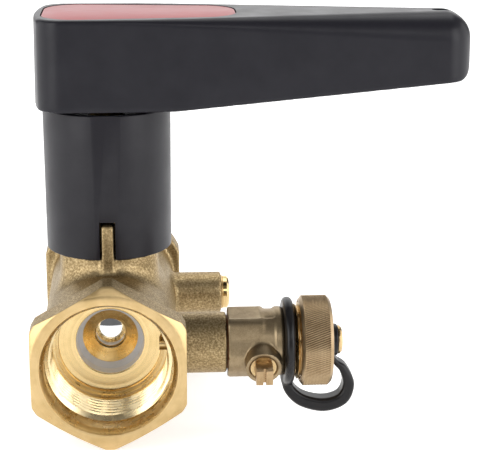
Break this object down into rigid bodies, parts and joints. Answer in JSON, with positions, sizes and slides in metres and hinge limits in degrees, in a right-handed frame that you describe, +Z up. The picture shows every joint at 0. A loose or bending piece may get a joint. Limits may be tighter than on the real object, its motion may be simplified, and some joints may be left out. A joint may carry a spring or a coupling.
{
  "type": "lever ball valve with drain cock",
  "caption": "Quarter-turn brass ball valve with hexagonal threaded ends, an extended neck with a lever, a plugged test port and a capped drain cock.",
  "frame": {"origin": "on the pipe axis, at the plane where the inlet thread begins, 9 mm inside the inlet face", "axes": "+Y along the pipe from the inlet into the valve, +Z up the stem axis, +X along the closed lever and out of both side ports"},
  "size_m": [0.1495, 0.104, 0.1387],
  "materials": {
    "cast_brass": "sand-cast skin, turned and machined inside and on the end faces",
    "turned_brass": "turned",
    "polished_brass": "bright turned",
    "blasted_brass": "dull, bead blasted",
    "chrome_ball": "polished chrome plate",
    "steel": "zinc-plated",
    "white_seal": "smooth white fluoropolymer",
    "brown_seal": "brown sealing ring",
    "sleeve_plastic": "smooth satin moulding",
    "lever_plastic": "fine satin moulding grain",
    "red_plate": "fine brushed, muted red",
    "black_rubber": "smooth"
  },
  "bodies": {
    "housing": {"valve_body": "cast_brass", "seat_retainer": "turned_brass", "inlet_seat_ring": "white_seal", "inlet_nozzle": "turned_brass", "outlet_seat_ring": "white_seal", "gland_packing": "white_seal", "gland_nut": "turned_brass", "neck_sleeve": "sleeve_plastic", "test_port_plug": "polished_brass", "test_port_washer": "turned_brass", "drain_body": "blasted_brass", "drain_seal": "brown_seal", "drain_ball_seats": "white_seal", "drain_seat_nut": "turned_brass", "drain_gland": "turned_brass", "cap_strap": "black_rubber"},
    "lever": {"lever_handle": "lever_plastic", "lever_insert": "steel", "lever_screw": "steel", "lever_plate": "red_plate", "main_stem": "turned_brass", "main_ball": "chrome_ball", "stem_thrust_washer": "white_seal", "stem_o_rings": "black_rubber"},
    "drain_spindle": {"drain_stem": "turned_brass", "drain_ball": "chrome_ball", "drain_stem_o_ring": "black_rubber"},
    "strap_end": {"strap_eyelet": "black_rubber"},
    "cap": {"drain_cap": "blasted_brass", "cap_gasket": "black_rubber", "cap_rivet": "turned_brass"}
  },
  "joints": [
    {"name": "lever_turn", "type": "hinge", "parent": "housing", "child": "lever", "pos_m": [0, 0.043, 0.05], "axis": [0, 0, 1], "range_deg": [0, 90]},
    {"name": "drain_stem_turn", "type": "hinge", "parent": "housing", "child": "drain_spindle", "pos_m": [0.0515, 0.0162, 0], "axis": [0, -0.9659, -0.2588], "range_deg": [0, 90]},
    {"name": "cap_travel", "type": "slide", "parent": "housing", "child": "strap_end", "axis": [1, 0, 0], "range_m": [0, 0.009], "deforming": ["cap_strap"]},
    {"name": "cap_turn", "type": "hinge", "parent": "strap_end", "child": "cap", "pos_m": [0.07, 0.0162, 0], "axis": [1, 0, 0], "range_deg": [0, 1764]}
  ],
  "couplings": [
    {"joint": "cap_travel", "follows": "cap_turn", "m_per_rad": 0.00028871}
  ]
}
